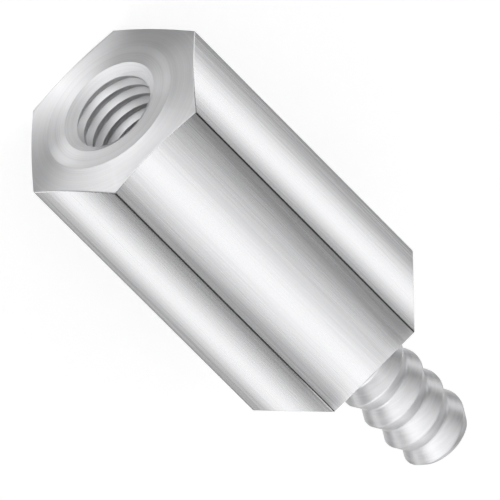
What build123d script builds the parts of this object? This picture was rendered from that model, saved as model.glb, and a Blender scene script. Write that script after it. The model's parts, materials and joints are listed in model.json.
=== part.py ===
from build123d import *
import math
import os

# Male-female hex standoff, turned from one length of hexagonal bar.
# The axis lies along X, with the stud towards +X and the tapped hole's mouth towards -X.
# The origin is on the axis, in the plane of the shoulder that the stud stands out of.
# Two flats face straight up and down, so the standoff lies on a flat.
# Sizes are in millimetres and degrees.

# Hexagonal body
ACROSS_FLATS = 6.35
BODY_LENGTH = 12.7
BAR_CORNER_RADIUS = 0.08
SHOULDER_EDGE_RADIUS = 0.05

# Seat ring at the tapped end, and the shallow chamfer that takes the bar's corners off round it
SEAT_DIAMETER = 4.84
SEAT_CHAMFER_SLOPE = 12.0

# Tapped hole, drawn at its tapping drill diameter
TAP_DRILL_DIAMETER = 2.78
MOUTH_DIAMETER = 3.5
MOUTH_CONE_ANGLE = 120.0
DRILLED_DEPTH = 8.5
DRILL_POINT_ANGLE = 118.0

# Threaded stud, drawn at the diameter over its crests
STUD_DIAMETER = 2.72
STUD_LENGTH = 6.0
STUD_TIP_DIAMETER = 2.34
STUD_TIP_CHAMFER_LENGTH = 0.25

# Sizes that follow from those above
ACROSS_CORNERS = ACROSS_FLATS / math.cos(math.radians(30))
TURNING_RADIUS = ACROSS_CORNERS / 2 + 1.0
SEAT_X = -BODY_LENGTH


def cone_depth(wide_diameter, narrow_diameter, full_angle):
    """Length of a cone between two diameters, for its full angle."""
    return (wide_diameter - narrow_diameter) / 2 / math.tan(math.radians(full_angle / 2))


def turned(profile):
    """Solid turned about the X axis from a half profile of (x, radius) points."""
    outline = Polyline(*[(x, radius) for x, radius in profile], close=True)
    return revolve(make_face(outline), Axis.X)


def hexagonal_bar():
    """Bar with a flat up, a flat down and a small radius along each corner."""
    section = RegularPolygon(ACROSS_FLATS / 2, 6, major_radius=False)
    rounded = fillet(section.vertices(), BAR_CORNER_RADIUS)
    return extrude(Plane.YZ.offset(SEAT_X) * rounded, BODY_LENGTH)


def seat_envelope():
    """Space left by turning the tapped end: flat inside the seat ring, sloping away outside it."""
    fall = (TURNING_RADIUS - SEAT_DIAMETER / 2) * math.tan(math.radians(SEAT_CHAMFER_SLOPE))
    return turned(
        [
            (SEAT_X, 0),
            (SEAT_X, SEAT_DIAMETER / 2),
            (SEAT_X + fall, TURNING_RADIUS),
            (1.0, TURNING_RADIUS),
            (1.0, 0),
        ]
    )


def body():
    """Bar cut to length, chamfered at the tapped end and with its edges broken at the shoulder."""
    blank = hexagonal_bar() & seat_envelope()
    shoulder = blank.faces().sort_by(Axis.X)[-1]
    return fillet(shoulder.edges(), SHOULDER_EDGE_RADIUS)


def tapped_hole():
    """Space of the blind hole: mouth cone, drilled wall and drill point."""
    mouth_depth = cone_depth(MOUTH_DIAMETER, TAP_DRILL_DIAMETER, MOUTH_CONE_ANGLE)
    point_depth = cone_depth(TAP_DRILL_DIAMETER, 0, DRILL_POINT_ANGLE)
    return turned(
        [
            (SEAT_X, 0),
            (SEAT_X, MOUTH_DIAMETER / 2),
            (SEAT_X + mouth_depth, TAP_DRILL_DIAMETER / 2),
            (SEAT_X + DRILLED_DEPTH, TAP_DRILL_DIAMETER / 2),
            (SEAT_X + DRILLED_DEPTH + point_depth, 0),
        ]
    )


def stud():
    """Stud with a chamfered tip, rooted inside the body so that the two are one solid."""
    root_x = -1.0
    return turned(
        [
            (root_x, 0),
            (root_x, STUD_DIAMETER / 2),
            (STUD_LENGTH - STUD_TIP_CHAMFER_LENGTH, STUD_DIAMETER / 2),
            (STUD_LENGTH, STUD_TIP_DIAMETER / 2),
            (STUD_LENGTH, 0),
        ]
    )


standoff = body() - tapped_hole() + stud()

os.makedirs("parts", exist_ok=True)
export_step(standoff, "parts/standoff.step")
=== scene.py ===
"""Looks of a male-female hex standoff: its real threads, its machined finishes and a small studio.

The standoff is under 20 mm long, so it is worked out in millimetres, and its whole mesh is brought to
metres at the end. The light cards and the view are given in millimetres too, and the floor in metres.
"""

from __future__ import annotations

import json
import logging
import math
from dataclasses import dataclass
from enum import Enum

import bmesh
import bpy
from mathutils import Matrix, Vector

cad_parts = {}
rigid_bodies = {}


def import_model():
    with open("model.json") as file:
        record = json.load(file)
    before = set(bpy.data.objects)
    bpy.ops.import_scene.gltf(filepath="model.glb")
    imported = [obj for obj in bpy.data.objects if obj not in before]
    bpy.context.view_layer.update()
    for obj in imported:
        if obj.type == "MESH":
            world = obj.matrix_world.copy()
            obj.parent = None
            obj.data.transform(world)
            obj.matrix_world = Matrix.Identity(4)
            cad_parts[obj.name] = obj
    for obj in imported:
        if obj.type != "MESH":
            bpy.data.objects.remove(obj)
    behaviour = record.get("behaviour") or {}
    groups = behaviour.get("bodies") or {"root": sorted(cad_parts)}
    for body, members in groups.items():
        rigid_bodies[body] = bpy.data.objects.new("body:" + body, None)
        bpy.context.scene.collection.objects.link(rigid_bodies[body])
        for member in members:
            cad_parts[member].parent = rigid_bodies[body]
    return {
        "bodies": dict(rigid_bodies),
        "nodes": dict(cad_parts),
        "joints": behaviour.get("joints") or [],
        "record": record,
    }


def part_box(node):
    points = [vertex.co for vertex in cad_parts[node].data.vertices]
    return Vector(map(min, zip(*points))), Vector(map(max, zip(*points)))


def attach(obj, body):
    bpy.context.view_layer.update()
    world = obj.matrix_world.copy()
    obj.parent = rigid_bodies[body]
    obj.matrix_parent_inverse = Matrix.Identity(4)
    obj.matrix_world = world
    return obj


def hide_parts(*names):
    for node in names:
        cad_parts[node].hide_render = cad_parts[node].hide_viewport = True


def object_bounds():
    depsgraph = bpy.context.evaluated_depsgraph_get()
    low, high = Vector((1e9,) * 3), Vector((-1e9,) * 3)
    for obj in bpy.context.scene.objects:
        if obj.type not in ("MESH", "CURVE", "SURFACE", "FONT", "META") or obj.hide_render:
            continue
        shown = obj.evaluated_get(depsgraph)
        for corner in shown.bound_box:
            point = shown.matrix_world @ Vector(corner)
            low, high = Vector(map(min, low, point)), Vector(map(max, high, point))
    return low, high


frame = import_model()
cad_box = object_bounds()

MM = 0.001
NODE = "standoff"

Triple = tuple[float, float, float]
Profile = list[tuple[float, float]]

FULL_TURN = 2 * math.pi
TURNED_STEPS = 144
BARE_METAL = (0.80, 0.80, 0.81)

# Distances in millimetres at which points are merged, or count as on a plane or an outline.
TURNED_MERGE = 1e-5
THREAD_MERGE = 1e-4
ON_PLANE = 1e-6
ON_OUTLINE = 1e-4

log = logging.getLogger("hex_standoff")


class Finish(Enum):
    """The finishes on the standoff, valued by their material's place on the mesh."""

    DRAWN = 0
    TURNED = 1
    CUT = 2
    TAPPED = 3


class Cut(Enum):
    """How one solid is combined with another, valued by the Boolean modifier's own word."""

    KEEP_COMMON = "INTERSECT"
    ADD = "UNION"
    TAKE_AWAY = "DIFFERENCE"


class Marks(Enum):
    """How a tool's marks lie, valued by the output of the axis_places group that they follow."""

    LINES = "Place"
    RINGS = "Radius"


class Socket(Enum):
    """What a node group's socket carries, valued by its type's own word."""

    NUMBER = "NodeSocketFloat"
    VECTOR = "NodeSocketVector"


class Fold(Enum):
    """How several values become one, valued by the Math node's own word."""

    SUM = "ADD"
    PRODUCT = "MULTIPLY"
    LOWEST = "MINIMUM"
    HIGHEST = "MAXIMUM"


def solid_object(shape: bmesh.types.BMesh, name: str) -> bpy.types.Object:
    """Puts a finished shape into an object of its own.

    Args:
        shape: The shape, which is freed.
        name: The object's name.

    Returns:
        The object, linked to the scene at the origin.
    """
    mesh = bpy.data.meshes.new(name)
    shape.to_mesh(mesh)
    shape.free()
    made = bpy.data.objects.new(name, mesh)
    bpy.context.scene.collection.objects.link(made)
    return made


def settled(target: bpy.types.Object) -> bpy.types.Object:
    """Works an object's modifiers into its mesh and clears them.

    Args:
        target: The object.

    Returns:
        The same object, with its new mesh.
    """
    graph = bpy.context.evaluated_depsgraph_get()
    mesh = bpy.data.meshes.new_from_object(target.evaluated_get(graph))
    target.modifiers.clear()
    target.data = mesh
    return target


def combined(target: bpy.types.Object, tool: bpy.types.Object, how: Cut) -> bpy.types.Object:
    """Combines two solids into the first and removes the second.

    Args:
        target: The solid that is kept and changed.
        tool: The solid that works on it.
        how: Whether the tool is added, taken away or crossed with the target.

    Returns:
        The target.
    """
    modifier = target.modifiers.new("combine", "BOOLEAN")
    modifier.operation = how.value
    modifier.solver = "MANIFOLD"
    modifier.object = tool
    settled(target)
    bpy.data.objects.remove(tool)
    return target


def turned_shape(profile: Profile) -> bmesh.types.BMesh:
    """Spins a half profile about the X axis.

    Args:
        profile: Points of (x, radius) in millimetres, from one end of the axis to the other.

    Returns:
        The closed shape.
    """
    shape = bmesh.new()
    points = [shape.verts.new((x, -radius, 0.0)) for x, radius in profile]
    edges = [shape.edges.new(pair) for pair in zip(points, points[1:])]
    bmesh.ops.spin(
        shape,
        geom=points + edges,
        cent=(0, 0, 0),
        axis=(1, 0, 0),
        angle=FULL_TURN,
        steps=TURNED_STEPS,
        use_merge=True,
    )
    bmesh.ops.remove_doubles(shape, verts=shape.verts, dist=TURNED_MERGE)
    bmesh.ops.recalc_face_normals(shape, faces=shape.faces)
    return shape


def trim_ends(shape: bmesh.types.BMesh, start_x: float, end_x: float) -> None:
    """Cuts a shape square to the X axis at both ends and closes it there.

    Args:
        shape: The shape, open and too long at both ends.
        start_x: Where it has to start.
        end_x: Where it has to end.
    """
    for x, outward in ((start_x, -1), (end_x, 1)):
        bmesh.ops.bisect_plane(
            shape,
            geom=shape.verts[:] + shape.edges[:] + shape.faces[:],
            dist=ON_PLANE,
            plane_co=(x, 0, 0),
            plane_no=(outward, 0, 0),
            clear_outer=True,
        )
    rims = [edge for edge in shape.edges if edge.is_boundary]
    bmesh.ops.holes_fill(shape, edges=rims, sides=0)
    bmesh.ops.recalc_face_normals(shape, faces=shape.faces)


@dataclass
class Thread:
    """A right-hand screw thread about the X axis.

    Sizes are in millimetres. side is the direction from the axis in which the profile is drawn, and
    crest_x is the middle of one of its crests there.
    """

    crest_radius: float
    root_radius: float
    pitch: float
    crest_flat: float
    root_flat: float
    crest_x: float
    side: Triple
    steps: int = 120

    def profile(self) -> Profile:
        """Draws one pitch of the thread.

        Returns:
            Points of (x, radius), from the middle of one crest to the middle of the next.
        """
        middle = self.pitch / 2
        return [
            (0.0, self.crest_radius),
            (self.crest_flat / 2, self.crest_radius),
            (middle - self.root_flat / 2, self.root_radius),
            (middle + self.root_flat / 2, self.root_radius),
            (self.pitch - self.crest_flat / 2, self.crest_radius),
            (self.pitch, self.crest_radius),
        ]

    def one_turn(self, first_x: float) -> bmesh.types.BMesh:
        """Spins the profile once round the axis while it climbs by its pitch.

        Args:
            first_x: The middle of the turn's first crest.

        Returns:
            The open turn.
        """
        shape = bmesh.new()
        out = Vector(self.side)
        points = [
            shape.verts.new(out * radius + Vector((first_x + x, 0, 0)))
            for x, radius in self.profile()
        ]
        edges = [shape.edges.new(pair) for pair in zip(points, points[1:])]
        bmesh.ops.spin(
            shape,
            geom=points + edges,
            cent=(0, 0, 0),
            axis=(1, 0, 0),
            dvec=(self.pitch / self.steps, 0, 0),
            angle=FULL_TURN,
            steps=self.steps,
        )
        return shape

    def rod(self, start_x: float, end_x: float) -> bmesh.types.BMesh:
        """Cuts a length of threaded rod.

        Args:
            start_x: Where the rod starts along the axis.
            end_x: Where it ends.

        Returns:
            The closed rod.
        """
        lead_in = math.ceil((self.crest_x - start_x) / self.pitch) + 1
        first_x = self.crest_x - lead_in * self.pitch
        turns = math.ceil((end_x - first_x) / self.pitch) + 1
        shape = self.one_turn(first_x)
        turn = shape.verts[:] + shape.edges[:] + shape.faces[:]
        for number in range(1, turns):
            copied = bmesh.ops.duplicate(shape, geom=turn)["geom"]
            moved = [item for item in copied if isinstance(item, bmesh.types.BMVert)]
            bmesh.ops.translate(shape, verts=moved, vec=(number * self.pitch, 0, 0))
        bmesh.ops.remove_doubles(shape, verts=shape.verts, dist=THREAD_MERGE)
        trim_ends(shape, start_x, end_x)
        return shape


@dataclass
class HexBar:
    """The hexagonal body, before its hole is made and its stud is added.

    Sizes are in millimetres. seat_inset is where the new ring of edges starts in the square end, before
    it is moved to the seat's outline.
    """

    across_flats: float
    length: float
    seat_radius: float = 2.42
    seat_inset: float = 0.3
    chamfer_slope: float = math.radians(12)
    edge_break: float = 0.048
    edge_segments: int = 8
    facets_a_side: int = 30

    def build(self) -> bpy.types.Object:
        """Extrudes the bar, turns its seat end and breaks its edges.

        Returns:
            The bar's object.
        """
        shape = bmesh.new()
        corner_radius = self.across_flats / math.sqrt(3)
        bmesh.ops.create_circle(shape, cap_ends=True, segments=6, radius=corner_radius)
        upright = Matrix.Rotation(math.pi / 2, 3, "Y")
        bmesh.ops.rotate(shape, verts=shape.verts, cent=(0, 0, 0), matrix=upright)
        bmesh.ops.subdivide_edges(shape, edges=shape.edges, cuts=self.facets_a_side - 1)
        grown = bmesh.ops.extrude_face_region(shape, geom=shape.faces[:])["geom"]
        moved = [item for item in grown if isinstance(item, bmesh.types.BMVert)]
        bmesh.ops.translate(shape, verts=moved, vec=(-self.length, 0, 0))
        self.turn_seat(shape)
        self.break_edges(shape, corner_radius)
        return solid_object(shape, "hex_bar")

    def turn_seat(self, shape: bmesh.types.BMesh) -> None:
        """Leaves a flat seat ring and slopes the end face away round it.

        Args:
            shape: The square-ended bar.
        """
        end = min(shape.faces, key=lambda face: face.calc_center_median().x)
        bmesh.ops.inset_region(shape, faces=[end], thickness=self.seat_inset, use_even_offset=True)
        seat_points = set(end.verts)
        for point in end.verts:
            (outer,) = [
                edge.other_vert(point) for edge in point.link_edges
                if edge.other_vert(point) not in seat_points
            ]
            spoke = Vector((0, outer.co.y, outer.co.z))
            point.co = spoke.normalized() * self.seat_radius - Vector((self.length, 0, 0))
            fall = (spoke.length - self.seat_radius) * math.tan(self.chamfer_slope)
            outer.co.x = fall - self.length

    def break_edges(self, shape: bmesh.types.BMesh, corner_radius: float) -> None:
        """Rounds the six long corners and the outline of both ends.

        Args:
            shape: The bar with its seat turned.
            corner_radius: Distance of its sharp corners from the axis.
        """
        sharp = []
        for edge in shape.edges:
            here, there = (vert.co for vert in edge.verts)
            lengthwise = abs(here.x - there.x) > self.length / 2
            outline_radius = corner_radius if lengthwise else self.across_flats / 2
            if min(math.hypot(here.y, here.z), math.hypot(there.y, there.z)) > outline_radius - ON_OUTLINE:
                sharp.append(edge)
        bmesh.ops.bevel(
            shape,
            geom=sharp,
            offset=self.edge_break,
            offset_type="OFFSET",
            affect="EDGES",
            segments=self.edge_segments,
            profile=0.5,
            material=-1,
        )
        bmesh.ops.recalc_face_normals(shape, faces=shape.faces)


@dataclass
class TappedHole:
    """The blind tapped hole: mouth cone, drilled wall, drill point and thread.

    Sizes are in millimetres. drill_lead and tap_lead are how far outside the seat the two tools start,
    and tap_overlap is how far the tap reaches inside the drilled wall.
    """

    seat_x: float
    drill_radius: float
    drilled_depth: float = 8.5
    mouth_radius: float = 1.75
    mouth_half_angle: float = math.radians(60)
    point_half_angle: float = math.radians(59)
    pitch: float = 0.493
    thread_depth: float = 0.17
    groove_flat: float = 0.03
    flank_angle: float = math.radians(45)
    tapped_length: float = 7.0
    first_land_x: float = -11.98
    drill_lead: float = 1.0
    tap_lead: float = 0.6
    tap_overlap: float = 0.04
    tap_steps: int = 96

    @property
    def wall_end_x(self) -> float:
        """Where the drilled wall ends and the drill point starts."""
        return self.seat_x + self.drilled_depth

    @property
    def point_x(self) -> float:
        """Where the drill point ends, on the axis."""
        return self.wall_end_x + self.drill_radius / math.tan(self.point_half_angle)

    def build(self) -> list[bpy.types.Object]:
        """Makes the tools that cut the hole.

        Returns:
            The drill with its countersink, and the tap.
        """
        return [self.drill(), self.tap()]

    def drill(self) -> bpy.types.Object:
        """Makes the space of the mouth cone, the drilled wall and the drill point.

        Returns:
            The space as one solid.
        """
        flare = self.mouth_radius + self.drill_lead * math.tan(self.mouth_half_angle)
        cone_end = self.seat_x + (self.mouth_radius - self.drill_radius) / math.tan(self.mouth_half_angle)
        profile = [
            (self.seat_x - self.drill_lead, 0.0),
            (self.seat_x - self.drill_lead, flare),
            (cone_end, self.drill_radius),
            (self.wall_end_x, self.drill_radius),
            (self.point_x, 0.0),
        ]
        return solid_object(turned_shape(profile), "drill")

    def tap(self) -> bpy.types.Object:
        """Makes the space of the thread's grooves.

        Returns:
            The space as one solid.
        """
        flank_run = (self.thread_depth + self.tap_overlap) * math.tan(self.flank_angle)
        thread = Thread(
            crest_radius=self.drill_radius + self.thread_depth,
            root_radius=self.drill_radius - self.tap_overlap,
            pitch=self.pitch,
            crest_flat=self.groove_flat,
            root_flat=self.pitch - self.groove_flat - 2 * flank_run,
            crest_x=self.first_land_x + self.pitch / 2,
            side=(0, 0, -1),
            steps=self.tap_steps,
        )
        rod = thread.rod(self.seat_x - self.tap_lead, self.seat_x + self.tapped_length)
        return solid_object(rod, "tap")


@dataclass
class Stud:
    """The threaded stud with its chamfered tip.

    Sizes are in millimetres. rooted is how far the stud starts inside the body, and overrun and clear
    are how far the uncut rod and the outline that trims it reach past the stud.
    """

    radius: float
    length: float
    plain_length: float
    tip_radius: float = 1.17
    pitch: float = 1.18
    groove_depth: float = 0.235
    crest_flat: float = 0.06
    root_flat: float = 0.08
    crest_x: float = 2.46
    rooted: float = 0.6
    overrun: float = 0.5
    clear: float = 0.3

    def build(self) -> bpy.types.Object:
        """Cuts the thread and turns the tip's chamfer across it.

        Returns:
            The stud's object, rooted a little way inside the body.
        """
        thread = Thread(
            crest_radius=self.radius,
            root_radius=self.radius - self.groove_depth,
            pitch=self.pitch,
            crest_flat=self.crest_flat,
            root_flat=self.root_flat,
            crest_x=self.crest_x,
            side=(0, -1, 0),
        )
        stud = solid_object(thread.rod(-self.rooted, self.length + self.overrun), "stud")
        return combined(stud, self.tip_envelope(), Cut.KEEP_COMMON)

    def tip_envelope(self) -> bpy.types.Object:
        """Makes the turned outline that the stud's tip stays inside.

        Returns:
            The outline as one solid.
        """
        slope = (self.radius - self.tip_radius) / (self.length - self.plain_length)
        profile = [
            (-self.rooted - self.clear, 0.0),
            (-self.rooted - self.clear, self.radius + self.clear),
            (self.plain_length - self.clear / slope, self.radius + self.clear),
            (self.length, self.tip_radius),
            (self.length, 0.0),
        ]
        return solid_object(turned_shape(profile), "tip_envelope")


@dataclass
class Standoff:
    """The whole standoff, one piece of metal from the tapped hole's mouth to the stud's tip.

    Each facing is the least part along X of the normal of a face that counts as the stud's tip, the
    hole's mouth cone or an end of the body. Lengths are in millimetres: each skin is how far a face
    has to be past the plane of the seat or the shoulder, cone_depth is deeper than the mouth cone, and
    bore_reach is a radius between the hole's and the seat ring's.
    """

    bar: HexBar
    hole: TappedHole
    stud: Stud
    smooth_below: float = math.radians(11.7)
    face_weight: int = 100
    tip_facing: float = 0.95
    cone_facing: float = 0.8
    end_facing: float = 0.6
    seat_skin: float = 0.01
    shoulder_skin: float = 0.001
    cone_depth: float = 0.25
    bore_reach: float = 2.0

    @classmethod
    def from_frame(cls, packed: dict) -> Standoff:
        """Takes the standoff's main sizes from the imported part.


        Returns:
            The standoff, with nothing built yet.
        """
        low, high = (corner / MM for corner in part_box(NODE))
        mounts = {mount["name"]: mount for mount in packed["record"]["mounts"]}
        stud_dims = mounts["stud"]["dims"]
        hole_dims = mounts["tapped_hole"]["dims"]
        return cls(
            bar=HexBar(across_flats=high.z - low.z, length=-low.x),
            hole=TappedHole(seat_x=low.x, drill_radius=hole_dims["r_mm"]),
            stud=Stud(radius=stud_dims["r_mm"], length=high.x, plain_length=stud_dims["length_mm"]),
        )

    def build(self) -> bpy.types.Object:
        """Joins the stud to the bar and cuts the hole.

        Returns:
            The piece, in metres, with its object at the origin.
        """
        whole = combined(self.bar.build(), self.stud.build(), Cut.ADD)
        for tool in self.hole.build():
            whole = combined(whole, tool, Cut.TAKE_AWAY)
        whole.name = whole.data.name = "threaded_standoff"
        whole.data.transform(Matrix.Scale(MM, 4))
        whole.data.polygons.foreach_set("use_smooth", [True] * len(whole.data.polygons))
        whole.data.set_sharp_from_angle(angle=self.smooth_below)
        even = whole.modifiers.new("even_normals", "WEIGHTED_NORMAL")
        even.keep_sharp = True
        even.weight = self.face_weight
        return settled(whole)

    def dress(self, piece: bpy.types.Object, materials: dict[Finish, bpy.types.Material]) -> None:
        """Gives each face the finish of the tool that left it.

        Args:
            piece: The whole standoff.
            materials: The material of each finish.
        """
        piece.data.materials.clear()
        for finish in Finish:
            piece.data.materials.append(materials[finish])
        for face in piece.data.polygons:
            face.material_index = self.finish_of(face.center / MM, face.normal).value

    def finish_of(self, centre: Vector, normal: Vector) -> Finish:
        """Chooses the finish of one face.

        Args:
            centre: The face's middle, in millimetres.
            normal: The face's direction.

        Returns:
            The finish that the tool which made that face leaves.
        """
        if centre.x > self.shoulder_skin:
            return Finish.TURNED if normal.x > self.tip_facing else Finish.CUT
        depth = centre.x - self.hole.seat_x
        along_bore = depth > self.seat_skin and centre.x < self.hole.point_x
        in_bore = along_bore and math.hypot(centre.y, centre.z) < self.bore_reach
        on_cone = depth < self.cone_depth and abs(normal.x) > self.cone_facing
        if in_bore and not on_cone:
            return Finish.TAPPED
        return Finish.TURNED if abs(normal.x) > self.end_facing else Finish.DRAWN


def node(
    tree: bpy.types.NodeTree,
    kind: str,
    values: dict[str | int, object] | None = None,
    **settings: object,
) -> bpy.types.Node:
    """Adds a shader node.

    Args:
        tree: The node tree.
        kind: The node's type name without its Shader Node prefix.
        values: Values of the node's inputs, by name or number.
        **settings: Attributes of the node.

    Returns:
        The node.
    """
    made = tree.nodes.new("ShaderNode" + kind)
    for name, setting in settings.items():
        setattr(made, name, setting)
    for socket, value in (values or {}).items():
        made.inputs[socket].default_value = value
    return made


def folded(
    tree: bpy.types.NodeTree, values: list[bpy.types.NodeSocket], how: Fold
) -> bpy.types.NodeSocket:
    """Combines several values into one, two at a time.

    Args:
        tree: The node tree.
        values: The values' sockets.
        how: What is made of each two.

    Returns:
        The socket of the combined value.
    """
    total = values[0]
    for value in values[1:]:
        step = node(tree, "Math", operation=how.value)
        tree.links.new(total, step.inputs[0])
        tree.links.new(value, step.inputs[1])
        total = step.outputs[0]
    return total


def new_group(
    name: str, inputs: dict[str, tuple[Socket, float | None]], outputs: dict[str, Socket]
) -> bpy.types.NodeTree:
    """Starts a shader node group.

    Args:
        name: The group's name.
        inputs: What each input carries and its first value, by name.
        outputs: What each output carries, by name.

    Returns:
        The group's tree, with its Group Input and Group Output nodes in it.
    """
    group = bpy.data.node_groups.new(name, "ShaderNodeTree")
    for label, (kind, value) in inputs.items():
        socket = group.interface.new_socket(label, in_out="INPUT", socket_type=kind.value)
        if value is not None:
            socket.default_value = value
    for label, kind in outputs.items():
        group.interface.new_socket(label, in_out="OUTPUT", socket_type=kind.value)
    group.nodes.new("NodeGroupInput")
    group.nodes.new("NodeGroupOutput")
    return group


def ends(group: bpy.types.NodeTree) -> tuple[bpy.types.NodeOutputs, bpy.types.NodeInputs]:
    """Finds the sockets that a group's nodes read from and write to.

    Args:
        group: A node group made by new_group.

    Returns:
        The Group Input node's outputs and the Group Output node's inputs.
    """
    return group.nodes["Group Input"].outputs, group.nodes["Group Output"].inputs


def axis_places_group() -> bpy.types.NodeTree:
    """Makes the group that gives a point's place on the standoff.

    Returns:
        The group. It puts out the place and its distance from the axis, in millimetres.
    """
    group = new_group("axis_places", {}, {"Radius": Socket.NUMBER, "Place": Socket.VECTOR})
    _, out = ends(group)
    link = group.links.new
    place = node(group, "TexCoord")
    scaled = node(group, "VectorMath", {"Scale": 1 / MM}, operation="SCALE")
    flat = node(group, "VectorMath", {1: (0, 1, 1)}, operation="MULTIPLY")
    length = node(group, "VectorMath", operation="LENGTH")
    link(place.outputs["Object"], scaled.inputs[0])
    link(scaled.outputs[0], flat.inputs[0])
    link(flat.outputs[0], length.inputs[0])
    link(length.outputs["Value"], out["Radius"])
    link(scaled.outputs[0], out["Place"])
    return group


def tool_marks_group() -> bpy.types.NodeTree:
    """Makes the group of the fine marks that a tool leaves, over broader unevenness.

    Returns:
        The group. It puts out the marks' height, and their tone from 0 to 1.
    """
    inputs = {
        "Place": (Socket.VECTOR, None),
        "Fineness": (Socket.NUMBER, 10.0),
        "Unevenness": (Socket.NUMBER, 0.4),
    }
    group = new_group("tool_marks", inputs, {"Height": Socket.NUMBER, "Tone": Socket.NUMBER})
    given, out = ends(group)
    link = group.links.new
    broad_to_fine = 0.18
    fine = node(group, "TexNoise", {"Detail": 5.0, "Roughness": 0.65})
    broad = node(group, "TexNoise", {"Detail": 2.0})
    slower = node(group, "Math", {1: broad_to_fine}, operation="MULTIPLY")
    mixed = node(group, "Mix", data_type="FLOAT")
    contrast = node(group, "MapRange", {"From Min": 0.3, "From Max": 0.7}, interpolation_type="SMOOTHSTEP")
    link(given["Place"], fine.inputs["Vector"])
    link(given["Place"], broad.inputs["Vector"])
    link(given["Fineness"], fine.inputs["Scale"])
    link(given["Fineness"], slower.inputs[0])
    link(slower.outputs[0], broad.inputs["Scale"])
    link(given["Unevenness"], mixed.inputs["Factor"])
    link(fine.outputs[0], mixed.inputs["A"])
    link(broad.outputs[0], mixed.inputs["B"])
    link(mixed.outputs["Result"], contrast.inputs["Value"])
    link(fine.outputs[0], out["Height"])
    link(contrast.outputs["Result"], out["Tone"])
    return group


def corner_wear_group() -> bpy.types.NodeTree:
    """Makes the group that finds how near a point is to one of the six long corners.

    A corner is where the point's distances from the middle planes of two pairs of flats are both half
    the width across flats, so the second largest of the three distances is compared with that.

    Returns:
        The group. It puts out the wear, from 0 on the flats to 1 at a corner.
    """
    inputs = {
        "Place": (Socket.VECTOR, None),
        "Half Across Flats": (Socket.NUMBER, 3.175),
        "Width": (Socket.NUMBER, 0.2),
    }
    group = new_group("corner_wear", inputs, {"Wear": Socket.NUMBER})
    given, out = ends(group)
    link = group.links.new
    distances = []
    for degrees in (90, 30, 150):
        angle = math.radians(degrees)
        facing = (0, math.cos(angle), math.sin(angle))
        reach = node(group, "VectorMath", {1: facing}, operation="DOT_PRODUCT")
        size = node(group, "Math", operation="ABSOLUTE")
        link(given["Place"], reach.inputs[0])
        link(reach.outputs["Value"], size.inputs[0])
        distances.append(size.outputs[0])
    without_lowest = node(group, "Math", operation="SUBTRACT")
    middle = node(group, "Math", operation="SUBTRACT")
    gap = node(group, "Math", operation="SUBTRACT")
    near = node(group, "MapRange", {"To Min": 1.0, "To Max": 0.0}, interpolation_type="SMOOTHSTEP")
    link(folded(group, distances, Fold.SUM), without_lowest.inputs[0])
    link(folded(group, distances, Fold.LOWEST), without_lowest.inputs[1])
    link(without_lowest.outputs[0], middle.inputs[0])
    link(folded(group, distances, Fold.HIGHEST), middle.inputs[1])
    link(given["Half Across Flats"], gap.inputs[0])
    link(middle.outputs[0], gap.inputs[1])
    link(gap.outputs[0], near.inputs["Value"])
    link(given["Width"], near.inputs["From Max"])
    link(near.outputs["Result"], out["Wear"])
    return group


def crowned_flat_group() -> bpy.types.NodeTree:
    """Makes the group for a drawn flat that is very slightly crowned from edge to edge.

    Returns:
        The group. It puts out the normal, leaning outwards by Crown for each millimetre off the middle.
    """
    inputs = {"Place": (Socket.VECTOR, None), "Crown": (Socket.NUMBER, 0.03)}
    group = new_group("crowned_flat", inputs, {"Normal": Socket.VECTOR})
    given, out = ends(group)
    link = group.links.new
    facing = node(group, "NewGeometry")
    across = node(group, "VectorMath", {0: (1, 0, 0)}, operation="CROSS_PRODUCT")
    reach = node(group, "VectorMath", operation="DOT_PRODUCT")
    amount = node(group, "Math", operation="MULTIPLY")
    lean = node(group, "VectorMath", operation="SCALE")
    added = node(group, "VectorMath", operation="ADD")
    unit = node(group, "VectorMath", operation="NORMALIZE")
    link(facing.outputs["Normal"], across.inputs[1])
    link(across.outputs[0], reach.inputs[0])
    link(given["Place"], reach.inputs[1])
    link(reach.outputs["Value"], amount.inputs[0])
    link(given["Crown"], amount.inputs[1])
    link(across.outputs[0], lean.inputs[0])
    link(amount.outputs[0], lean.inputs["Scale"])
    link(facing.outputs["Normal"], added.inputs[0])
    link(lean.outputs[0], added.inputs[1])
    link(added.outputs[0], unit.inputs[0])
    link(unit.outputs[0], out["Normal"])
    return group


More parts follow.
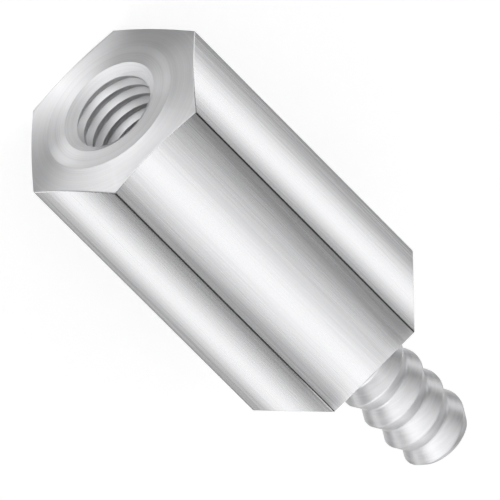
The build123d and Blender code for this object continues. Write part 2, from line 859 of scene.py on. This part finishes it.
@dataclass(frozen=True)
class Metal:
    """A finish of the bare aluminium.

    Its colour runs from dark to light, and its roughness from smooth to rough, with the tone of the
    tool's marks. fineness is how close the marks lie, stretch is how many times closer along each axis,
    and depth is their height in millimetres. crown is the lean of a flat's normal for each millimetre
    off its middle, ring_sheen draws highlights out round the axis, and corner_polish rubs the long
    corners bright.
    """

    name: str
    dark: Triple
    light: Triple
    smooth: float
    rough: float
    marks: Marks
    fineness: float
    depth: float
    stretch: Triple = (1.0, 1.0, 1.0)
    crown: float = 0.0
    ring_sheen: float = 0.0
    corner_polish: float = 0.0
    polish_smoothing: float = 0.8

    def material(self, groups: dict[str, bpy.types.NodeTree]) -> bpy.types.Material:
        """Builds the material.

        Args:
            groups: The shared node groups by name.

        Returns:
            The material.
        """
        made = bpy.data.materials.new(self.name)
        made.use_nodes = True
        tree = made.node_tree
        link = tree.links.new
        shader = tree.nodes["Principled BSDF"]
        shader.inputs["Metallic"].default_value = 1.0
        if self.ring_sheen:
            shader.inputs["Anisotropic"].default_value = self.ring_sheen
            rings = node(tree, "Tangent", direction_type="RADIAL", axis="X")
            link(rings.outputs["Tangent"], shader.inputs["Tangent"])
        places = node(tree, "Group", node_tree=groups["axis_places"])
        marks = node(tree, "Group", {"Fineness": self.fineness}, node_tree=groups["tool_marks"])
        link(self.mark_place(tree, places), marks.inputs["Place"])
        colour, roughness = self.marked(tree, marks.outputs["Tone"])
        if self.corner_polish:
            wear = node(tree, "Group", node_tree=groups["corner_wear"])
            link(places.outputs["Place"], wear.inputs["Place"])
            colour, roughness = self.polished(tree, wear.outputs["Wear"], colour, roughness)
        link(colour, shader.inputs["Base Color"])
        link(roughness, shader.inputs["Roughness"])
        bump = node(tree, "Bump", {"Strength": 1.0, "Distance": self.depth * MM})
        link(marks.outputs["Height"], bump.inputs["Height"])
        if self.crown:
            crowned = node(tree, "Group", {"Crown": self.crown}, node_tree=groups["crowned_flat"])
            link(places.outputs["Place"], crowned.inputs["Place"])
            link(crowned.outputs["Normal"], bump.inputs["Normal"])
        link(bump.outputs["Normal"], shader.inputs["Normal"])
        return made

    def mark_place(self, tree: bpy.types.NodeTree, places: bpy.types.Node) -> bpy.types.NodeSocket:
        """Finds the place by which the tool's marks change.

        Args:
            tree: The material's node tree.
            places: The axis_places group in it.

        Returns:
            The place's socket: stretched for lines, or the radius alone for rings.
        """
        source = places.outputs[self.marks.value]
        if self.marks is Marks.RINGS:
            place = node(tree, "CombineXYZ")
        else:
            place = node(tree, "VectorMath", {1: self.stretch}, operation="MULTIPLY")
        tree.links.new(source, place.inputs[0])
        return place.outputs[0]

    def marked(
        self, tree: bpy.types.NodeTree, tone: bpy.types.NodeSocket
    ) -> tuple[bpy.types.NodeSocket, bpy.types.NodeSocket]:
        """Gives the tool's marks their colour and roughness.

        Args:
            tree: The material's node tree.
            tone: The marks' tone.

        Returns:
            The sockets of the colour and of the roughness.
        """
        shades = {"A": (*self.dark, 1), "B": (*self.light, 1)}
        colour = node(tree, "Mix", shades, data_type="RGBA")
        roughness = node(tree, "MapRange", {"To Min": self.smooth, "To Max": self.rough})
        tree.links.new(tone, colour.inputs["Factor"])
        tree.links.new(tone, roughness.inputs["Value"])
        return colour.outputs["Result"], roughness.outputs["Result"]

    def polished(
        self,
        tree: bpy.types.NodeTree,
        wear: bpy.types.NodeSocket,
        colour: bpy.types.NodeSocket,
        roughness: bpy.types.NodeSocket,
    ) -> tuple[bpy.types.NodeSocket, bpy.types.NodeSocket]:
        """Rubs the long corners paler and smoother.

        Args:
            tree: The material's node tree.
            wear: How worn the point is.
            colour: The colour before wear.
            roughness: The roughness before wear.

        Returns:
            The sockets of the colour and of the roughness with the wear on them.
        """
        link = tree.links.new
        rubbed = node(tree, "Math", {1: self.corner_polish}, operation="MULTIPLY")
        paler = node(tree, "Mix", {"B": (*BARE_METAL, 1)}, data_type="RGBA")
        smoother = node(tree, "Mix", {"B": self.smooth * self.polish_smoothing}, data_type="FLOAT")
        link(wear, rubbed.inputs[0])
        link(rubbed.outputs[0], paler.inputs["Factor"])
        link(rubbed.outputs[0], smoother.inputs["Factor"])
        link(colour, paler.inputs["A"])
        link(roughness, smoother.inputs["A"])
        return paler.outputs["Result"], smoother.outputs["Result"]


FINISHES = {
    Finish.DRAWN: Metal(
        name="drawn_aluminium_flats",
        dark=(0.56, 0.56, 0.57),
        light=(0.68, 0.68, 0.69),
        smooth=0.21,
        rough=0.30,
        marks=Marks.LINES,
        fineness=1.0,
        stretch=(0.15, 9.0, 9.0),
        depth=0.0014,
        crown=0.05,
        corner_polish=0.6,
    ),
    Finish.TURNED: Metal(
        name="turned_aluminium_faces",
        dark=(0.58, 0.58, 0.59),
        light=(0.70, 0.70, 0.71),
        smooth=0.38,
        rough=0.48,
        marks=Marks.RINGS,
        fineness=14.0,
        depth=0.0012,
        ring_sheen=0.8,
    ),
    Finish.CUT: Metal(
        name="cut_aluminium_threads",
        dark=(0.54, 0.54, 0.55),
        light=(0.66, 0.66, 0.67),
        smooth=0.40,
        rough=0.50,
        marks=Marks.LINES,
        fineness=1.0,
        stretch=(10.0, 1.0, 1.0),
        depth=0.0012,
    ),
    # The tapped wall's paler colour is painted light that lifts the shade inside the hole. Its rougher
    # finish is the tap's own.
    Finish.TAPPED: Metal(
        name="tapped_wall_painted_lighter",
        dark=(0.72, 0.72, 0.73),
        light=(0.80, 0.80, 0.81),
        smooth=0.46,
        rough=0.56,
        marks=Marks.LINES,
        fineness=1.0,
        stretch=(10.0, 1.0, 1.0),
        depth=0.0005,
    ),
}


@dataclass
class View:
    """The drawing's viewpoint, kept almost parallel by a very long lens.

    The drawing's own directions are falling, down to the right along the standoff, and rising, up to
    the right across it. Places in the drawing are in pixels along those, from its top left corner. The
    origin is the middle of the shoulder, lens and sensor are in millimetres, and the clips in metres.
    """

    picture_width: float = 500
    pixels_in_mm: float = 30.87
    middle_falling: float = 353.55
    origin_falling: float = 469.63
    origin_rising: float = 1.72
    angle_to_axis: float = math.radians(53.45)
    lens: float = 1600.0
    sensor: float = 36.0
    near_clip: float = 0.01
    far_clip: float = 5.0

    def build(self) -> bpy.types.Object:
        """Places the camera and makes it the scene's own.

        Returns:
            The camera.
        """
        pixel = MM / self.pixels_in_mm
        towards = Vector((-math.cos(self.angle_to_axis), 0, math.sin(self.angle_to_axis)))
        falling = Vector((math.sin(self.angle_to_axis), 0, math.cos(self.angle_to_axis)))
        rising = Vector((0, 1, 0))
        right = (falling + rising).normalized()
        up = (rising - falling).normalized()
        data = bpy.data.cameras.new("camera")
        data.lens = self.lens
        data.sensor_width = self.sensor
        data.clip_start = self.near_clip
        data.clip_end = self.far_clip
        distance = self.lens / self.sensor * self.picture_width * pixel
        target = falling * (self.middle_falling - self.origin_falling) * pixel
        target -= rising * self.origin_rising * pixel
        camera = bpy.data.objects.new("camera", data)
        bpy.context.scene.collection.objects.link(camera)
        turn = Matrix((right, up, towards)).transposed().to_4x4()
        camera.matrix_world = Matrix.Translation(target + towards * distance) @ turn
        bpy.context.scene.camera = camera
        return camera


@dataclass(frozen=True)
class Glow:
    """How brightly a card glows across its width: most along one line, less on each side of it.

    line is the bright line's place and fade the reach of its light on its low and its high side, in
    millimetres. bright and dim are levels of light, at which 1 is white.
    """

    line: float
    fade: tuple[float, float]
    bright: float
    dim: float

    @classmethod
    def even(cls, level: float) -> Glow:
        """A glow of one level all over."""
        return cls(line=0, fade=(1, 1), bright=level, dim=level)


@dataclass
class LightCard:
    """A long glowing card that only shiny surfaces see.

    Lengths are in millimetres. along gives the card's long side and edges its two long edges, measured
    across it from its place. border is the width over which it fades away at all four sides.
    """

    name: str
    place: Triple
    facing: Triple
    along: Triple
    length: float
    edges: tuple[float, float]
    glow: Glow
    border: float = 1.2

    def build(self) -> bpy.types.Object:
        """Stands the card in the studio.

        Returns:
            The card.
        """
        shape = bmesh.new()
        bmesh.ops.create_grid(shape, x_segments=1, y_segments=1, size=0.5)
        low, high = self.edges
        bmesh.ops.scale(shape, verts=shape.verts, vec=(self.length, high - low, 1))
        bmesh.ops.translate(shape, verts=shape.verts, vec=(0, (high + low) / 2, 0))
        bmesh.ops.scale(shape, verts=shape.verts, vec=(MM, MM, MM))
        card = solid_object(shape, self.name)
        card.data.materials.append(self.material())
        face = Vector(self.facing).normalized()
        across = face.cross(Vector(self.along)).normalized()
        long_way = across.cross(face)
        turn = Matrix((long_way, across, face)).transposed().to_4x4()
        card.matrix_world = Matrix.Translation(Vector(self.place) * MM) @ turn
        for ray in ("camera", "diffuse", "shadow", "volume_scatter"):
            setattr(card, "visible_" + ray, False)
        return card

    def material(self) -> bpy.types.Material:
        """Builds the card's material, brightest along its line and see-through at its borders.

        Returns:
            The material.
        """
        made = bpy.data.materials.new(self.name)
        made.use_nodes = True
        made.cycles.emission_sampling = "NONE"
        tree = made.node_tree
        link = tree.links.new
        tree.nodes.remove(tree.nodes["Principled BSDF"])
        place = node(tree, "TexCoord")
        parts = node(tree, "SeparateXYZ")
        link(place.outputs["Object"], parts.inputs[0])
        long_way = parts.outputs["X"]
        across = parts.outputs["Y"]
        end = self.length / 2
        low, high = self.edges
        line = self.glow.line
        low_fade, high_fade = self.glow.fade
        levels = [
            self.ramp(tree, across, (line - low_fade, line), (self.glow.dim, self.glow.bright)),
            self.ramp(tree, across, (line + high_fade, line), (self.glow.dim, self.glow.bright)),
        ]
        borders = [
            self.ramp(tree, across, (low, low + self.border), (0, 1)),
            self.ramp(tree, across, (high, high - self.border), (0, 1)),
            self.ramp(tree, long_way, (-end, self.border - end), (0, 1)),
            self.ramp(tree, long_way, (end, end - self.border), (0, 1)),
        ]
        light = node(tree, "Emission")
        clear = node(tree, "BsdfTransparent")
        faded = node(tree, "MixShader")
        link(folded(tree, levels, Fold.LOWEST), light.inputs["Strength"])
        link(folded(tree, borders, Fold.PRODUCT), faded.inputs[0])
        link(clear.outputs[0], faded.inputs[1])
        link(light.outputs[0], faded.inputs[2])
        link(faded.outputs[0], tree.nodes["Material Output"].inputs["Surface"])
        return made

    @staticmethod
    def ramp(
        tree: bpy.types.NodeTree,
        place: bpy.types.NodeSocket,
        span: tuple[float, float],
        levels: tuple[float, float],
    ) -> bpy.types.NodeSocket:
        """Turns a place on the card into a level that changes evenly over a span and then stays.

        Args:
            tree: The card's node tree.
            place: The place, in metres.
            span: Where the change starts and ends, in millimetres.
            levels: The level at its start and at its end.

        Returns:
            The level's socket.
        """
        start, stop = span
        first, last = levels
        values = {"From Min": start * MM, "From Max": stop * MM, "To Min": first, "To Max": last}
        slope = node(tree, "MapRange", values)
        tree.links.new(place, slope.inputs["Value"])
        return slope.outputs["Result"]


@dataclass
class Studio:
    """A white floor, a pale surround and light cards close to the small part.

    The floor's height, half width and gap under the part are in metres. The surround's levels hold
    below and above its two heights, which are the upward part of the direction of view.
    """

    floor_z: float
    cards: list[LightCard]
    floor_half_width: float = 2.0
    floor_gap: float = 0.00001
    floor_colour: Triple = (0.8, 0.8, 0.8)
    floor_glow: float = 0.56
    surround_heights: tuple[float, float] = (0.15, 0.75)
    surround_levels: tuple[float, float] = (1.0, 0.5)

    def build(self) -> None:
        """Lays the floor, lights the surround and stands the cards."""
        self.lay_floor()
        self.light_surround()
        for card in self.cards:
            card.build()

    def lay_floor(self) -> None:
        """Lays a plain white floor just under the standoff."""
        shape = bmesh.new()
        bmesh.ops.create_grid(shape, x_segments=1, y_segments=1, size=self.floor_half_width)
        bmesh.ops.translate(shape, verts=shape.verts, vec=(0, 0, self.floor_z - self.floor_gap))
        floor = solid_object(shape, "floor")
        floor.data.materials.append(self.floor_paint())

    def floor_paint(self) -> bpy.types.Material:
        """Builds the floor's matt white, which looks white to the camera and is clear from below.

        Returns:
            The material.
        """
        paint = bpy.data.materials.new("floor_white")
        paint.use_nodes = True
        paint.cycles.emission_sampling = "NONE"
        tree = paint.node_tree
        link = tree.links.new
        tree.nodes.remove(tree.nodes["Principled BSDF"])
        seen = node(tree, "LightPath")
        rays = [seen.outputs[f"Is {kind} Ray"] for kind in ("Camera", "Glossy", "Transmission")]
        strength = node(tree, "Math", {1: self.floor_glow}, operation="MULTIPLY")
        matt = node(tree, "BsdfDiffuse", {"Color": (*self.floor_colour, 1)})
        glow = node(tree, "Emission")
        both = node(tree, "AddShader")
        side = node(tree, "NewGeometry")
        clear = node(tree, "BsdfTransparent")
        one_sided = node(tree, "MixShader")
        link(folded(tree, rays, Fold.HIGHEST), strength.inputs[0])
        link(strength.outputs[0], glow.inputs["Strength"])
        link(matt.outputs[0], both.inputs[0])
        link(glow.outputs[0], both.inputs[1])
        link(side.outputs["Backfacing"], one_sided.inputs[0])
        link(both.outputs[0], one_sided.inputs[1])
        link(clear.outputs[0], one_sided.inputs[2])
        link(one_sided.outputs[0], tree.nodes["Material Output"].inputs["Surface"])
        return paint

    def light_surround(self) -> None:
        """Makes the surround white at the horizon and greyer overhead."""
        world = bpy.data.worlds.new("surround")
        world.use_nodes = True
        world.cycles.sampling_method = "NONE"
        tree = world.node_tree
        link = tree.links.new
        background = tree.nodes["Background"]
        background.inputs["Color"].default_value = (1, 1, 1, 1)
        place = node(tree, "TexCoord")
        parts = node(tree, "SeparateXYZ")
        low, high = self.surround_heights
        horizon, overhead = self.surround_levels
        values = {"From Min": low, "From Max": high, "To Min": horizon, "To Max": overhead}
        fade = node(tree, "MapRange", values, interpolation_type="SMOOTHSTEP")
        link(place.outputs["Generated"], parts.inputs[0])
        link(parts.outputs["Z"], fade.inputs["Value"])
        link(fade.outputs["Result"], background.inputs["Strength"])
        bpy.context.scene.world = world


# The cards' directions, and the height in millimetres of those that lie on the floor.
AHEAD = (1, 0, 0)
BACK = (-1, 0, 0)
RIGHTWARDS = (0, 1, 0)
LEFTWARDS = (0, -1, 0)
UP = (0, 0, 1)
DOWN = (0, 0, -1)
ON_FLOOR = -3.1


def body_cards() -> list[LightCard]:
    """Sets out the cards that the flats and the long corners of the body see.

    Returns:
        One card over the top flat and one beside each side flat, which put a bright line along it, and
        on each side a dim card on the floor and a dark strip close to the long corner.
    """
    cards = [
        LightCard(
            "top_card", place=(4, 0, 10.2), facing=DOWN, along=AHEAD, length=44, edges=(-7, 7),
            glow=Glow(line=0.95, fade=(3.8, 2.2), bright=1.95, dim=0.24),
        ),
        LightCard(
            "left_card", place=(2, -7, 0), facing=RIGHTWARDS, along=BACK, length=44, edges=(-4.4, 6),
            glow=Glow(line=-1.3, fade=(1.3, 2.5), bright=2.05, dim=0.2),
        ),
        LightCard(
            "right_card", place=(2, 7, 0), facing=LEFTWARDS, along=AHEAD, length=44, edges=(-4.4, 6),
            glow=Glow(line=-0.2, fade=(2.5, 1.6), bright=2.05, dim=0.22),
        ),
    ]
    for side, outward in (("left", -1), ("right", 1)):
        cards.append(LightCard(
            side + "_floor_card", place=(2, outward * 5.8, ON_FLOOR), facing=UP, along=AHEAD,
            length=44, edges=(-2.4, 2.4), glow=Glow.even(0.3),
        ))
        cards.append(LightCard(
            side + "_strip", place=(-5.9, outward * 2.06, 3.37), facing=(0, -outward * 0.75, -0.66),
            along=AHEAD, length=12.8, edges=(-0.2, 0.2), glow=Glow.even(0.03), border=0.05,
        ))
    return cards


def end_cards() -> list[LightCard]:
    """Sets out the cards that the tapped end, the hole and the stud see.

    Returns:
        The cards over, beside and beyond the stud, and those before and under the tapped end.
    """
    return [
        LightCard(
            "stud_card", place=(5.2, 0, 4.2), facing=DOWN, along=AHEAD, length=9.6, edges=(-12, 15),
            glow=Glow(line=4.6, fade=(9.0, 7.0), bright=2.1, dim=0.7),
        ),
        LightCard(
            "stud_side_card", place=(7, -6.4, 3.6), facing=RIGHTWARDS, along=BACK, length=10,
            edges=(-2.2, 2.2), glow=Glow(line=0, fade=(2.2, 2.2), bright=1.75, dim=1.1),
        ),
        LightCard(
            "tip_floor_card", place=(14, 0, ON_FLOOR), facing=UP, along=RIGHTWARDS, length=20,
            edges=(-7, 7), glow=Glow.even(0.6),
        ),
        LightCard(
            "tip_card", place=(21, 0, 2), facing=BACK, along=UP, length=14, edges=(-16, 16),
            glow=Glow(line=-5, fade=(8, 7), bright=1.9, dim=0.5),
        ),
        LightCard(
            "front_floor_card", place=(-17, 0, ON_FLOOR), facing=UP, along=AHEAD, length=11,
            edges=(-9, 9), glow=Glow(line=-0.7, fade=(1.5, 1.5), bright=1.9, dim=0.34),
        ),
        LightCard(
            "near_floor_card", place=(-13, 0, ON_FLOOR + 0.04), facing=UP, along=AHEAD, length=3.4,
            edges=(-9, 9), glow=Glow(line=-0.7, fade=(4.5, 4.5), bright=1.55, dim=0.1),
        ),
        LightCard(
            "front_card", place=(-22, -2, -2.6), facing=AHEAD, along=DOWN, length=2.8, edges=(-3, 3),
            glow=Glow(line=0, fade=(3, 3), bright=9.4, dim=0.6),
        ),
        LightCard(
            "hole_card", place=(-19.9, 0, 5.35), facing=(0.8, 0, -0.6), along=RIGHTWARDS, length=9,
            edges=(-5, 5), glow=Glow(line=0, fade=(5, 5), bright=2.2, dim=1.2),
        ),
    ]


def main() -> None:
    """Builds the standoff, gives it its finishes and sets up the studio and the view."""
    logging.basicConfig(level=logging.INFO, format="%(name)s: %(message)s")
    groups = {
        "axis_places": axis_places_group(),
        "tool_marks": tool_marks_group(),
        "corner_wear": corner_wear_group(),
        "crowned_flat": crowned_flat_group(),
    }
    materials = {finish: metal.material(groups) for finish, metal in FINISHES.items()}
    standoff = Standoff.from_frame(frame)
    piece = standoff.build()
    standoff.dress(piece, materials)
    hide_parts(NODE)
    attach(piece, "root")
    log.info("%s: %d faces", piece.name, len(piece.data.polygons))
    cards = body_cards() + end_cards()
    Studio(floor_z=cad_box[0][2], cards=cards).build()
    View().build()
    log.info("studio with %d cards and view in place", len(cards))
    bpy.context.scene.view_settings.view_transform = "Standard"


if __name__ == "__main__":
    main()
